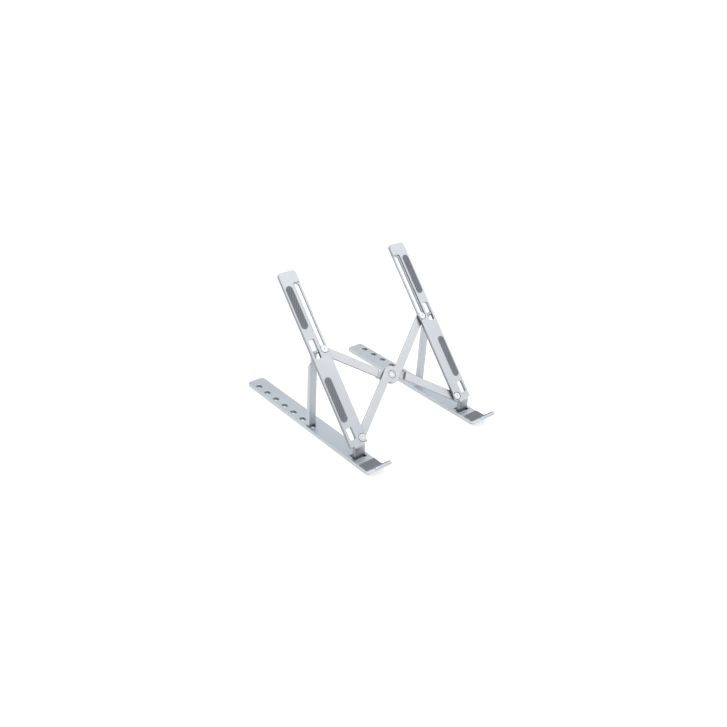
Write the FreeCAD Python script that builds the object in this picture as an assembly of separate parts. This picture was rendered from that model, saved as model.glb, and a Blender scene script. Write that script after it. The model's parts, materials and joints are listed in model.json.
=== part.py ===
import FreeCAD, Part
import math
import os

Vector = FreeCAD.Vector

# Folding laptop stand: two flat base bars, two sloping arms hinged to them, a prop strut under each
# arm, and a scissor of two crossed links that joins the arms and lets the stand fold sideways.
# All lengths are in millimetres and all angles in degrees. +Z is up, +Y runs from the hooks to the
# rear, and the origin is on the ground under the middle of the stand. The right side is drawn,
# and the left side is its mirror image.

# Overall size
OVERALL_LENGTH = 253.2
BAR_WIDTH = 24.0
BAR_SPACING = 164.6
FOOT_HEIGHT = 1.0
EDGE_BREAK = 0.35

# Modelling aids: how far a cutting block runs past the surface it cuts, and the tolerance of tests
CUT_PAST = 1.0
TOLERANCE = 1e-6

# Gaps between pieces
RUNNING_GAP = 0.05
PRESS_GAP = 0.02
WORKING_GAP = 0.3

# Base bar: distances along it are counted from its rear end
BASE_THICKNESS = 4.0
BASE_CORNER_RADIUS = 5.0
HOLE_COUNT = 7
HOLE_PITCH = 18.8
FIRST_HOLE_FROM_REAR = 17.9
HOLE_WIDTH = 6.0
HOLE_LENGTH = 8.5
HOLE_CORNER_RADIUS = 2.4
HOLE_OFFSET = 5.2

# Hook at the front of the base bar
HOOK_BEND_FROM_REAR = 234.0
HOOK_BEND_INNER_RADIUS = 7.0
HOOK_ANGLE = 44.0
HOOK_TIP_ROUND = 1.0
HOOK_CORNER_RADIUS = 3.5
HOOK_PAD_THICKNESS = 0.8
HOOK_PAD_SIDE_MARGIN = 0.8
HOOK_PAD_REAR_FROM_REAR = 223.0
HOOK_PAD_TIP_MARGIN = 1.6

# Ground pads under the base bar
FRONT_FOOT_LENGTH = 13.0
FRONT_FOOT_WIDTH = 18.0
FRONT_FOOT_CORNER_RADIUS = 2.0
FRONT_FOOT_FROM_REAR = 224.0
REAR_FOOT_LENGTH = 50.0
REAR_FOOT_WIDTH = 9.0
REAR_FOOT_FROM_REAR = 34.0
REAR_FOOT_OFFSET = -5.5

# Front hinge, where the arm's lug turns on a pin in the base bar
HINGE_FROM_REAR = 209.6
HINGE_HEIGHT = 3.2
HINGE_PIN_RADIUS = 1.0
HINGE_PIN_HALF_LENGTH = 10.0
HINGE_OPENING_HALF_WIDTH = 7.5
HINGE_OPENING_FRONT = 5.1
HINGE_OPENING_REAR = 6.4
LUG_HALF_WIDTH = 7.0
LUG_THICKNESS = 4.4
LUG_BEND_RADIUS = 2.0
LUG_ROOT_TOP_S = 0.8
LUG_ROOT_MIDDLE_S = 1.2
LUG_ROOT_DROP = 1.0

# Arm: s runs up the arm from its low end, and depth is counted down from its top face
ARM_ANGLE = 48.95
ARM_LENGTH = 209.0
ARM_THICKNESS = 3.6
ARM_LOW_END_AHEAD_OF_HINGE = 0.95
ARM_LOW_END_HEIGHT = 20.3
ARM_TOP_CORNER_RADIUS = 4.5
ARM_LOW_CORNER_RADIUS = 0.8
WINDOW_OFFSET = 4.8
WINDOW_WIDTH = 7.8
WINDOW_CORNER_RADIUS = 1.2
STRUT_WINDOW_LOW = 104.5
STRUT_WINDOW_HIGH = 127.6
FOOT_WINDOW_LOW = 7.7
FOOT_WINDOW_HIGH = 21.5

# Silicone pads on the arm
PAD_OFFSET = 5.25
PAD_WIDTH = 8.5
PAD_THICKNESS = 1.4
PAD_POCKET_DEPTH = 0.5
LOWER_PAD_LOW = 29.0
LOWER_PAD_HIGH = 81.7
UPPER_PAD_LOW = 140.6
UPPER_PAD_HIGH = 192.0

# Scissor links
RIVET_OFFSET = -7.0
PIVOT_RIVET_S = 6.0
SLIDER_REST_S = 113.0
LINK_WIDTH = 10.0
LINK_ARM_OFFSET = 5.25
LINK_THICKNESS = 2.5
LINK_HUB_RADIUS = 10.25
LINK_FILLET = 2.5
FOLDED_GAP = 4.0
WASHER_SPACE = 0.4
WASHER_THICKNESS = 0.3
JOGGLE_INNER = 16.8
JOGGLE_OUTER = 18.6

# Slider recess and slot in the arm
RECESS_DEPTH = 1.2
RECESS_RADIUS = 4.85
RECESS_CORNER_RADIUS = 2.5
SLOT_HALF_WIDTH = 2.75
SLOT_END_ROOM = 0.15

# Rivets
HEAD_THICKNESS = 1.0
HEAD_RADIUS = 4.2
HEAD_CROWN = 0.25
HEAD_DIMPLE_RADIUS = 1.1
HEAD_DIMPLE_DEPTH = 0.5
PIVOT_SHANK_RADIUS = 2.2
SLIDER_SHANK_RADIUS = 2.6
SLIDER_TENON_RADIUS = 2.0
HUB_SHANK_RADIUS = 2.5
HUB_HEAD_RADIUS = 4.6
HUB_RECESS_RADIUS = 5.0
HUB_DIMPLE_RADIUS = 2.6
HUB_DIMPLE_DEPTH = 0.25
TAIL_THICKNESS = 0.8
TAIL_RADIUS = 3.8
TAIL_GAP = 0.1

# Strut
STRUT_PIN_S = 112.8
STRUT_PIN_DEPTH = 2.2
STRUT_PIN_RADIUS = 0.9
STRUT_PIN_HALF_LENGTH = 5.4
STRUT_LEAN = 1.4
STRUT_OFFSET = 5.0
STRUT_WIDTH = 9.8
STRUT_DEPTH = 4.6
STRUT_WALL = 1.4
STRUT_TOP_BELOW_PIN = 14.5
STRUT_TOP_SLOPE = 5.0
STRUT_FOOT_HEIGHT = 3.0
KNUCKLE_RADIUS = 1.9
KNUCKLE_WIDTH = 6.8
NECK_THICKNESS = 2.4
NECK_TOP_BELOW_PIN = 1.2
NECK_SLOPE_BELOW_PIN = 5.7
NECK_OVERLAP = 2.0
TOOTH_WIDTH = 4.6
TOOTH_THICKNESS = 2.4
TOOTH_BEHIND_FACE = 0.5
TOOTH_DEPTH = 2.6

# Worked out from the sizes above
REAR_Y = OVERALL_LENGTH / 2
FRONT_Y = -OVERALL_LENGTH / 2
BAR_X = BAR_SPACING / 2
BASE_TOP = FOOT_HEIGHT + BASE_THICKNESS
HINGE_Y = REAR_Y - HINGE_FROM_REAR
ARM_Y = HINGE_Y - ARM_LOW_END_AHEAD_OF_HINGE
HALF_BAR = BAR_WIDTH / 2
RIVET_X = BAR_X + RIVET_OFFSET
HUB_S = (PIVOT_RIVET_S + SLIDER_REST_S) / 2
HALF_LINK = math.hypot(RIVET_X, HUB_S - PIVOT_RIVET_S)
LINK_REACH = math.sqrt(HALF_LINK ** 2 - LINK_ARM_OFFSET ** 2)
LINK_REST_ANGLE = math.degrees(math.atan2(HUB_S - PIVOT_RIVET_S, RIVET_X))
LINK_SKEW = math.degrees(math.asin(LINK_ARM_OFFSET / HALF_LINK))
FOLDED_RIVET_X = HALF_BAR + FOLDED_GAP / 2 + RIVET_OFFSET
LINK_FOLD_ANGLE = math.degrees(math.acos(FOLDED_RIVET_X / HALF_LINK)) - LINK_REST_ANGLE
SLIDER_FOLD_S = PIVOT_RIVET_S + 2 * math.sqrt(HALF_LINK ** 2 - FOLDED_RIVET_X ** 2)
LINK_TOP_DEPTH = ARM_THICKNESS + WASHER_SPACE
LINK_UNDER_DEPTH = LINK_TOP_DEPTH + LINK_THICKNESS
CENTRE_TOP_DEPTH = LINK_UNDER_DEPTH + WASHER_SPACE
CENTRE_UNDER_DEPTH = CENTRE_TOP_DEPTH + LINK_THICKNESS
ARM_LIFT_ANGLE = 90.0 - ARM_ANGLE
STRUT_FOLD_ANGLE = ARM_LIFT_ANGLE + STRUT_LEAN
STRUT_FACE = ARM_THICKNESS + WORKING_GAP - STRUT_PIN_DEPTH


def arm_point(x, s, depth):
    """A point of the arm's frame, in the stand's frame."""
    return arm_placement().multVec(Vector(x, s, -depth))


def arm_placement():
    """Carries the flat-lying arm frame (x, s, height over the top face) to its slope."""
    tilt = FreeCAD.Rotation(Vector(1, 0, 0), ARM_ANGLE)
    return FreeCAD.Placement(Vector(0, ARM_Y, ARM_LOW_END_HEIGHT), tilt)


def strut_placement():
    """Carries the upright strut frame, with the strut pin at its origin, to its place."""
    lean = FreeCAD.Rotation(Vector(1, 0, 0), STRUT_LEAN)
    return FreeCAD.Placement(arm_point(BAR_X, STRUT_PIN_S, STRUT_PIN_DEPTH), lean)


def strut_length():
    """From the strut pin down the strut to its shoulders, just clear of the base bar."""
    pin = arm_point(BAR_X, STRUT_PIN_S, STRUT_PIN_DEPTH)
    lean = math.radians(STRUT_LEAN)
    drop = pin.z - BASE_TOP - WORKING_GAP
    return (drop + STRUT_FACE * math.sin(lean)) / math.cos(lean)


def placed(shape, placement):
    """A copy of a shape moved by a placement."""
    return shape.transformed(placement.toMatrix(), True)


def box(x_low, x_high, y_low, y_high, z_low, z_high):
    """A block between two corners."""
    return Part.makeBox(x_high - x_low, y_high - y_low, z_high - z_low, Vector(x_low, y_low, z_low))


def prism(points, direction):
    """A polygon of points swept along a direction."""
    wire = Part.makePolygon(points + [points[0]])
    return Part.Face(wire).extrude(direction)


def rod_x(x_low, x_high, y, z, radius):
    """A cylinder along X."""
    return Part.makeCylinder(radius, x_high - x_low, Vector(x_low, y, z), Vector(1, 0, 0))


def disc(x, y, z_low, z_high, radius):
    """A cylinder along Z."""
    return Part.makeCylinder(radius, z_high - z_low, Vector(x, y, z_low), Vector(0, 0, 1))


def upright_edges(shape, at=None):
    """The edges that run along Z, or those of them that a test accepts by their middle point."""
    found = []
    for edge in shape.Edges:
        ends = edge.Vertexes
        if len(ends) != 2 or edge.Curve.TypeId != "Part::GeomLine":
            continue
        span = ends[1].Point - ends[0].Point
        if abs(span.x) > TOLERANCE or abs(span.y) > TOLERANCE:
            continue
        if at is None or at(edge.CenterOfMass):
            found.append(edge)
    return found


def level_edges(shape, height):
    """The edges that lie wholly at one height."""
    return [e for e in shape.Edges
            if abs(e.BoundBox.ZMin - height) < TOLERANCE and abs(e.BoundBox.ZMax - height) < TOLERANCE]


def rounded_block(x_low, x_high, y_low, y_high, z_low, z_high, radius):
    """A block with its four upright edges rounded."""
    block = box(x_low, x_high, y_low, y_high, z_low, z_high)
    return block.makeFillet(radius, upright_edges(block))


def stadium_block(x, y_low, y_high, z_low, z_high, half_width):
    """A block with half-round ends, along Y."""
    middle = box(x - half_width, x + half_width, y_low + half_width, y_high - half_width, z_low, z_high)
    low_end = disc(x, y_low + half_width, z_low, z_high, half_width)
    high_end = disc(x, y_high - half_width, z_low, z_high, half_width)
    return middle.fuse([low_end, high_end]).removeSplitter()


def broken_edges(shape, heights):
    """Breaks the sharp edges of a flat piece at the heights of its faces."""
    edges = []
    for height in heights:
        edges += level_edges(shape, height)
    return shape.makeChamfer(EDGE_BREAK, edges)


def hook_lip_length():
    """The straight part of the hook, so that its rounded tip ends at the front of the stand."""
    bend = math.radians(HOOK_ANGLE)
    outer = HOOK_BEND_INNER_RADIUS + BASE_THICKNESS
    rounding = HOOK_TIP_ROUND * (math.cos(bend) + math.sin(bend) - 1)
    run = REAR_Y - HOOK_BEND_FROM_REAR - outer * math.sin(bend) + rounding - FRONT_Y
    return run / math.cos(bend)


def hook_point(radius, angle, along):
    """A point of the hook's side view: a radius and angle about the bend, then up the lip."""
    turn = math.radians(angle)
    y = REAR_Y - HOOK_BEND_FROM_REAR - radius * math.sin(turn) - along * math.cos(turn)
    z = BASE_TOP + HOOK_BEND_INNER_RADIUS - radius * math.cos(turn) + along * math.sin(turn)
    return Vector(0, y, z)


def hook_band(outer, inner, rear_y, lip):
    """The side view of a strip that runs flat, round the hook's bend and up its lip."""
    half = HOOK_ANGLE / 2
    flat_z = BASE_TOP + HOOK_BEND_INNER_RADIUS
    corners = [
        hook_point(outer, 0, 0),
        hook_point(outer, HOOK_ANGLE, 0),
        hook_point(outer, HOOK_ANGLE, lip),
        hook_point(inner, HOOK_ANGLE, lip),
        hook_point(inner, HOOK_ANGLE, 0),
        hook_point(inner, 0, 0),
    ]
    rear_low = Vector(0, rear_y, flat_z - outer)
    rear_high = Vector(0, rear_y, flat_z - inner)
    edges = [
        Part.LineSegment(rear_low, corners[0]).toShape(),
        Part.Arc(corners[0], hook_point(outer, half, 0), corners[1]).toShape(),
        Part.LineSegment(corners[1], corners[2]).toShape(),
        Part.LineSegment(corners[2], corners[3]).toShape(),
        Part.LineSegment(corners[3], corners[4]).toShape(),
        Part.Arc(corners[4], hook_point(inner, half, 0), corners[5]).toShape(),
        Part.LineSegment(corners[5], rear_high).toShape(),
        Part.LineSegment(rear_high, rear_low).toShape(),
    ]
    return Part.Face(Part.Wire(edges))


def base_bar():
    """Flat bar with the hook bent up at its front, the strut's holes and the hinge opening."""
    inner = HOOK_BEND_INNER_RADIUS
    lip = hook_lip_length()
    section = hook_band(inner + BASE_THICKNESS, inner, REAR_Y, lip)
    section.translate(Vector(BAR_X - HALF_BAR, 0, 0))
    bar = section.extrude(Vector(BAR_WIDTH, 0, 0))
    rear_corners = upright_edges(bar, lambda p: p.y > REAR_Y - BASE_CORNER_RADIUS)
    bar = bar.makeFillet(BASE_CORNER_RADIUS, rear_corners)
    tip = hook_point(inner + BASE_THICKNESS / 2, HOOK_ANGLE, lip)
    tip_corners = [e for e in bar.Edges
                   if math.hypot(e.CenterOfMass.y - tip.y, e.CenterOfMass.z - tip.z) < TOLERANCE
                   and abs(e.Length - BASE_THICKNESS) < TOLERANCE]
    bar = bar.makeFillet(HOOK_CORNER_RADIUS, tip_corners)
    bar = bar.makeFillet(HOOK_TIP_ROUND, tip_rim_edges(bar, tip))
    hole_low = BAR_X + HOLE_OFFSET - HOLE_WIDTH / 2
    hole_high = BAR_X + HOLE_OFFSET + HOLE_WIDTH / 2
    cuts = [rounded_block(hole_low, hole_high, y - HOLE_LENGTH / 2, y + HOLE_LENGTH / 2,
                          0, BASE_TOP + CUT_PAST, HOLE_CORNER_RADIUS)
            for y in hole_centres()]
    cuts.append(box(BAR_X - HINGE_OPENING_HALF_WIDTH, BAR_X + HINGE_OPENING_HALF_WIDTH,
                    HINGE_Y - HINGE_OPENING_FRONT, HINGE_Y + HINGE_OPENING_REAR, 0, BASE_TOP + CUT_PAST))
    bar = bar.cut(cuts)
    bend_y = REAR_Y - HOOK_BEND_FROM_REAR
    rims = [e for e in level_edges(bar, BASE_TOP) if e.CenterOfMass.y > bend_y + EDGE_BREAK]
    bar = bar.makeChamfer(EDGE_BREAK, rims)
    reach = HINGE_PIN_HALF_LENGTH + PRESS_GAP
    bore = rod_x(BAR_X - reach, BAR_X + reach, HINGE_Y, HINGE_HEIGHT, HINGE_PIN_RADIUS + PRESS_GAP)
    return bar.cut(bore)


def tip_rim_edges(bar, tip):
    """The two long edges round the end of the hook's lip, corners included."""
    bend = math.radians(HOOK_ANGLE)
    lip = Vector(0, -math.cos(bend), math.sin(bend))
    found = []
    for edge in bar.Edges:
        near_tip = (edge.CenterOfMass - tip).dot(lip) > -HOOK_CORNER_RADIUS
        straight = edge.Curve.TypeId == "Part::GeomLine"
        crosswise = abs(edge.tangentAt(edge.FirstParameter).x) > 1 - TOLERANCE
        if near_tip and (crosswise or not straight):
            found.append(edge)
    return found


def hole_centres():
    """Y of the strut's holes, from the rear to the front."""
    first = REAR_Y - FIRST_HOLE_FROM_REAR
    return [first - HOLE_PITCH * i for i in range(HOLE_COUNT)]


def hook_pad():
    """Silicone strip that lines the hook."""
    inner = HOOK_BEND_INNER_RADIUS
    lip = hook_lip_length() - HOOK_PAD_TIP_MARGIN
    section = hook_band(inner, inner - HOOK_PAD_THICKNESS, REAR_Y - HOOK_PAD_REAR_FROM_REAR, lip)
    side = HALF_BAR - HOOK_PAD_SIDE_MARGIN
    section.translate(Vector(BAR_X - side, 0, 0))
    return section.extrude(Vector(2 * side, 0, 0))


def front_foot():
    """Silicone ground pad under the front of the base bar."""
    half = FRONT_FOOT_WIDTH / 2
    rear = REAR_Y - FRONT_FOOT_FROM_REAR + FRONT_FOOT_LENGTH / 2
    return rounded_block(BAR_X - half, BAR_X + half, rear - FRONT_FOOT_LENGTH, rear, 0, FOOT_HEIGHT,
                         FRONT_FOOT_CORNER_RADIUS)


def rear_foot():
    """Silicone ground pad under the rear of the base bar."""
    middle = REAR_Y - REAR_FOOT_FROM_REAR
    return stadium_block(BAR_X + REAR_FOOT_OFFSET, middle - REAR_FOOT_LENGTH / 2,
                         middle + REAR_FOOT_LENGTH / 2, 0, FOOT_HEIGHT, REAR_FOOT_WIDTH / 2)


def hinge_pin():
    """Steel pin across the base bar's hinge opening."""
    return rod_x(BAR_X - HINGE_PIN_HALF_LENGTH, BAR_X + HINGE_PIN_HALF_LENGTH,
                 HINGE_Y, HINGE_HEIGHT, HINGE_PIN_RADIUS)


def arm_plate():
    """The arm's flat bar, lying in the arm frame, with its edges broken."""
    plate = box(BAR_X - HALF_BAR, BAR_X + HALF_BAR, 0, ARM_LENGTH, -ARM_THICKNESS, 0)
    top_corners = upright_edges(plate, lambda p: p.y > ARM_LENGTH / 2)
    plate = plate.makeFillet(ARM_TOP_CORNER_RADIUS, top_corners)
    low_corners = upright_edges(plate, lambda p: p.y < TOLERANCE)
    plate = plate.makeFillet(ARM_LOW_CORNER_RADIUS, low_corners)
    return broken_edges(plate, [0, -ARM_THICKNESS])


def arm_windows():
    """The two through windows in the arm's outer half."""
    low = BAR_X + WINDOW_OFFSET - WINDOW_WIDTH / 2
    high = BAR_X + WINDOW_OFFSET + WINDOW_WIDTH / 2
    spans = [(STRUT_WINDOW_LOW, STRUT_WINDOW_HIGH), (FOOT_WINDOW_LOW, FOOT_WINDOW_HIGH)]
    return [rounded_block(low, high, s_low, s_high, -ARM_THICKNESS - CUT_PAST, CUT_PAST, WINDOW_CORNER_RADIUS)
            for s_low, s_high in spans]


def slider_track():
    """The stepped recess for the slider's head and the slot for its shank."""
    recess_high = SLIDER_FOLD_S + HEAD_RADIUS + SLOT_END_ROOM
    outer = RIVET_X + RECESS_RADIUS
    open_side = BAR_X - HALF_BAR - CUT_PAST
    recess = box(open_side, outer, SLIDER_REST_S, recess_high, -RECESS_DEPTH, CUT_PAST)
    inner_corner = upright_edges(recess, lambda p: p.x > RIVET_X and p.y > SLIDER_REST_S + RECESS_RADIUS)
    recess = recess.makeFillet(RECESS_CORNER_RADIUS, inner_corner)
    low_end = disc(RIVET_X, SLIDER_REST_S, -RECESS_DEPTH, CUT_PAST, RECESS_RADIUS)
    low_side = box(open_side, RIVET_X, SLIDER_REST_S - RECESS_RADIUS, SLIDER_REST_S, -RECESS_DEPTH, CUT_PAST)
    slot = stadium_block(RIVET_X, SLIDER_REST_S - SLOT_END_ROOM - SLOT_HALF_WIDTH,
                         SLIDER_FOLD_S + SLOT_END_ROOM + SLOT_HALF_WIDTH, -ARM_THICKNESS - CUT_PAST, CUT_PAST,
                         SLOT_HALF_WIDTH)
    return [recess, low_end, low_side, slot]


def pivot_seat():
    """The counterbore and bore of the arm's lower rivet."""
    open_side = BAR_X - HALF_BAR - CUT_PAST
    seat = disc(RIVET_X, PIVOT_RIVET_S, -HEAD_THICKNESS, CUT_PAST, RECESS_RADIUS)
    edge = box(open_side, RIVET_X, PIVOT_RIVET_S - RECESS_RADIUS, PIVOT_RIVET_S + RECESS_RADIUS,
               -HEAD_THICKNESS, CUT_PAST)
    bore = disc(RIVET_X, PIVOT_RIVET_S, -ARM_THICKNESS - CUT_PAST, CUT_PAST, PIVOT_SHANK_RADIUS + PRESS_GAP)
    return [seat, edge, bore]


def pad_spans():
    """Where each pad starts and ends along the arm."""
    return {"lower": (LOWER_PAD_LOW, LOWER_PAD_HIGH), "upper": (UPPER_PAD_LOW, UPPER_PAD_HIGH)}


def pad_pockets():
    """Shallow pockets that the silicone pads are glued into."""
    return [stadium_block(BAR_X + PAD_OFFSET, low - PRESS_GAP, high + PRESS_GAP, -PAD_POCKET_DEPTH, CUT_PAST,
                          PAD_WIDTH / 2 + PRESS_GAP)
            for low, high in pad_spans().values()]


def strut_pin_bore():
    """Blind bores in the arm, either side of the upper window."""
    reach = STRUT_PIN_HALF_LENGTH + PRESS_GAP
    middle = BAR_X + WINDOW_OFFSET
    radius = STRUT_PIN_RADIUS + PRESS_GAP
    return rod_x(middle - reach, middle + reach, STRUT_PIN_S, -STRUT_PIN_DEPTH, radius)


def lug():
    """The arm's upright foot, from the bend at its low end to the round knuckle on the hinge pin."""
    half = LUG_THICKNESS / 2
    front = HINGE_Y - half
    rear = HINGE_Y + half
    slope = math.tan(math.radians(ARM_ANGLE))
    bend = Vector(0, front, ARM_LOW_END_HEIGHT + (front - ARM_Y) * slope)
    root_top = arm_point(0, LUG_ROOT_TOP_S, 0)
    root_middle = arm_point(0, LUG_ROOT_MIDDLE_S, ARM_THICKNESS / 2)
    root_low = Vector(0, rear, ARM_LOW_END_HEIGHT - LUG_ROOT_DROP)
    knuckle_front = Vector(0, front, HINGE_HEIGHT)
    knuckle_rear = Vector(0, rear, HINGE_HEIGHT)
    knuckle_low = Vector(0, HINGE_Y, HINGE_HEIGHT - half)
    outline = [knuckle_front, bend, root_top, root_middle, root_low, knuckle_rear]
    edges = [Part.LineSegment(a, b).toShape() for a, b in zip(outline, outline[1:])]
    edges.append(Part.Arc(knuckle_rear, knuckle_low, knuckle_front).toShape())
    face = Part.Face(Part.Wire(edges))
    face.translate(Vector(BAR_X - LUG_HALF_WIDTH, 0, 0))
    solid = face.extrude(Vector(2 * LUG_HALF_WIDTH, 0, 0))
    crease = [e for e in solid.Edges
              if math.hypot(e.CenterOfMass.y - bend.y, e.CenterOfMass.z - bend.z) < TOLERANCE]
    return solid.makeFillet(LUG_BEND_RADIUS, crease)


def arm():
    """Sloping arm: plate and lug in one piece, with its windows, slider track and pad pockets."""
    plate = placed(arm_plate(), arm_placement())
    body = plate.fuse(lug()).removeSplitter()
    cuts = arm_windows() + slider_track() + pivot_seat() + pad_pockets() + [strut_pin_bore()]
    cuts = [placed(cut, arm_placement()) for cut in cuts]
    reach = LUG_HALF_WIDTH + CUT_PAST
    cuts.append(rod_x(BAR_X - reach, BAR_X + reach, HINGE_Y, HINGE_HEIGHT, HINGE_PIN_RADIUS + RUNNING_GAP))
    return body.cut(cuts)


def arm_pad(name):
    """Silicone pad glued on the arm's top face."""
    low, high = pad_spans()[name]
    pad = stadium_block(BAR_X + PAD_OFFSET, low, high, -PAD_POCKET_DEPTH, PAD_THICKNESS - PAD_POCKET_DEPTH,
                        PAD_WIDTH / 2)
    pad = pad.makeChamfer(EDGE_BREAK, level_edges(pad, PAD_THICKNESS - PAD_POCKET_DEPTH))
    return placed(pad, arm_placement())


def strut_pin():
    """Steel pin across the arm's upper window."""
    middle = BAR_X + WINDOW_OFFSET
    pin = rod_x(middle - STRUT_PIN_HALF_LENGTH, middle + STRUT_PIN_HALF_LENGTH,
                STRUT_PIN_S, -STRUT_PIN_DEPTH, STRUT_PIN_RADIUS)
    return placed(pin, arm_placement())


def rivet(x, s, levels, radii, dimple_radius=HEAD_DIMPLE_RADIUS, dimple_depth=HEAD_DIMPLE_DEPTH):
    """A rivet from its head down: levels are depths of the head's top, head's underside, each step and the
    tail's end, and radii are those of the head, each shank length and the tail."""
    head = disc(x, s, -levels[1], -levels[0], radii[0])
    head = head.makeFillet(HEAD_CROWN, level_edges(head, -levels[0]))
    lengths = [disc(x, s, -low, -high, radius)
               for high, low, radius in zip(levels[1:], levels[2:], radii[1:])]
    solid = head.fuse(lengths).removeSplitter()
    dimple = disc(x, s, -levels[0] - dimple_depth, CUT_PAST - levels[0], dimple_radius)
    return placed(solid.cut(dimple), arm_placement())


def pivot_rivet():
    """Rivet that the lower end of a link turns on."""
    tail_top = LINK_UNDER_DEPTH + TAIL_GAP
    return rivet(RIVET_X, PIVOT_RIVET_S, [0, HEAD_THICKNESS, tail_top, tail_top + TAIL_THICKNESS],
                 [HEAD_RADIUS, PIVOT_SHANK_RADIUS, TAIL_RADIUS])


def slider_rivet():
    """Stepped rivet at the upper end of a link, which slides along the arm's slot."""
    head_under = RECESS_DEPTH - TAIL_GAP
    tenon_top = LINK_TOP_DEPTH
    tail_top = LINK_UNDER_DEPTH
    return rivet(RIVET_X, SLIDER_REST_S,
                 [head_under - HEAD_THICKNESS, head_under, tenon_top, tail_top, tail_top + TAIL_THICKNESS],
                 [HEAD_RADIUS, SLIDER_SHANK_RADIUS, SLIDER_TENON_RADIUS, TAIL_RADIUS])


def hub_rivet():
    """Rivet through both links where they cross, its head sunk in the upper link."""
    tail_top = CENTRE_UNDER_DEPTH + TAIL_GAP
    return rivet(0, HUB_S,
                 [LINK_TOP_DEPTH, LINK_TOP_DEPTH + HEAD_THICKNESS, tail_top, tail_top + TAIL_THICKNESS],
                 [HUB_HEAD_RADIUS, HUB_SHANK_RADIUS, TAIL_RADIUS], HUB_DIMPLE_RADIUS, HUB_DIMPLE_DEPTH)


def washer(x, s, top_depth, bore_radius):
    """Thin nylon washer."""
    ring = disc(x, s, -top_depth - WASHER_THICKNESS, -top_depth, HEAD_RADIUS)
    hole = disc(x, s, -top_depth - CUT_PAST, CUT_PAST - top_depth, bore_radius)
    return placed(ring.cut(hole), arm_placement())


def link_outline(z_low, z_high):
    """A link's plan about its hub: two parallel arms, one each side of the hub's middle."""
    half = LINK_WIDTH / 2
    inner = LINK_ARM_OFFSET - half
    outer = LINK_ARM_OFFSET + half
    arms = [
        box(-LINK_REACH, 0, inner, outer, z_low, z_high),
        box(0, LINK_REACH, -outer, -inner, z_low, z_high),
        disc(-LINK_REACH, LINK_ARM_OFFSET, z_low, z_high, half),
        disc(LINK_REACH, -LINK_ARM_OFFSET, z_low, z_high, half),
    ]
    solid = disc(0, 0, z_low, z_high, LINK_HUB_RADIUS).fuse(arms).removeSplitter()
    notches = upright_edges(solid, lambda p: math.hypot(p.x, p.y) < LINK_HUB_RADIUS + TOLERANCE
                            and abs(abs(p.y) - inner) < TOLERANCE)
    return solid.makeFillet(LINK_FILLET, notches)


def link_place(shape, mirrored):
    """Turns a link about the hub to its open angle, flipped over for the under link."""
    turn = FreeCAD.Rotation(Vector(0, 0, 1), LINK_REST_ANGLE + LINK_SKEW)
    turned = placed(shape, FreeCAD.Placement(Vector(0, 0, 0), turn))
    if mirrored:
        turned = turned.mirror(Vector(0, 0, 0), Vector(1, 0, 0))
    turned.translate(Vector(0, HUB_S, 0))
    return turned


def top_link():
    """Flat link from the left arm's lower rivet to the right arm's slider."""
    plate = link_outline(-LINK_UNDER_DEPTH, -LINK_TOP_DEPTH)
    plate = broken_edges(plate, [-LINK_TOP_DEPTH, -LINK_UNDER_DEPTH])
    plate = link_place(plate, False)
    low = -LINK_UNDER_DEPTH - CUT_PAST
    cuts = [
        disc(0, HUB_S, -LINK_TOP_DEPTH - HEAD_THICKNESS - PRESS_GAP, 0, HUB_RECESS_RADIUS),
        disc(0, HUB_S, low, 0, HUB_SHANK_RADIUS + PRESS_GAP),
        disc(-RIVET_X, PIVOT_RIVET_S, low, 0, PIVOT_SHANK_RADIUS + RUNNING_GAP),
        disc(RIVET_X, SLIDER_REST_S, low, 0, SLIDER_TENON_RADIUS + PRESS_GAP),
    ]
    return placed(plate.cut(cuts), arm_placement())


def joggle_profile(widening, drop):
    """One face of the under link, seen from its side: level ends and a step down round the hub."""
    reach = LINK_REACH + LINK_WIDTH
    inner = JOGGLE_INNER + widening
    outer = JOGGLE_OUTER + widening
    return [
        (-reach, LINK_TOP_DEPTH + drop),
        (-outer, LINK_TOP_DEPTH + drop),
        (-inner, CENTRE_TOP_DEPTH + drop),
        (inner, CENTRE_TOP_DEPTH + drop),
        (outer, LINK_TOP_DEPTH + drop),
        (reach, LINK_TOP_DEPTH + drop),
    ]


def joggle_section(side):
    """The under link's side view, as thick in its steps as elsewhere."""
    slope = math.atan2(CENTRE_TOP_DEPTH - LINK_TOP_DEPTH, JOGGLE_OUTER - JOGGLE_INNER)
    widening = LINK_THICKNESS * math.tan(slope / 2)
    outline = joggle_profile(0, 0) + joggle_profile(widening, LINK_THICKNESS)[::-1]
    return [Vector(along, -side, -depth) for along, depth in outline]


def under_link():
    """Joggled link from the left arm's slider to the right arm's lower rivet, under the hub."""
    side = LINK_HUB_RADIUS + CUT_PAST
    low = -CENTRE_UNDER_DEPTH - CUT_PAST
    section = prism(joggle_section(side), Vector(0, 2 * side, 0))
    plate = section.common(link_outline(low, 0))
    plate = link_place(plate, True)
    cuts = [
        disc(0, HUB_S, low, 0, HUB_SHANK_RADIUS + RUNNING_GAP),
        disc(RIVET_X, PIVOT_RIVET_S, low, 0, PIVOT_SHANK_RADIUS + RUNNING_GAP),
        disc(-RIVET_X, SLIDER_REST_S, low, 0, SLIDER_TENON_RADIUS + PRESS_GAP),
    ]
    return placed(plate.cut(cuts), arm_placement())


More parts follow.
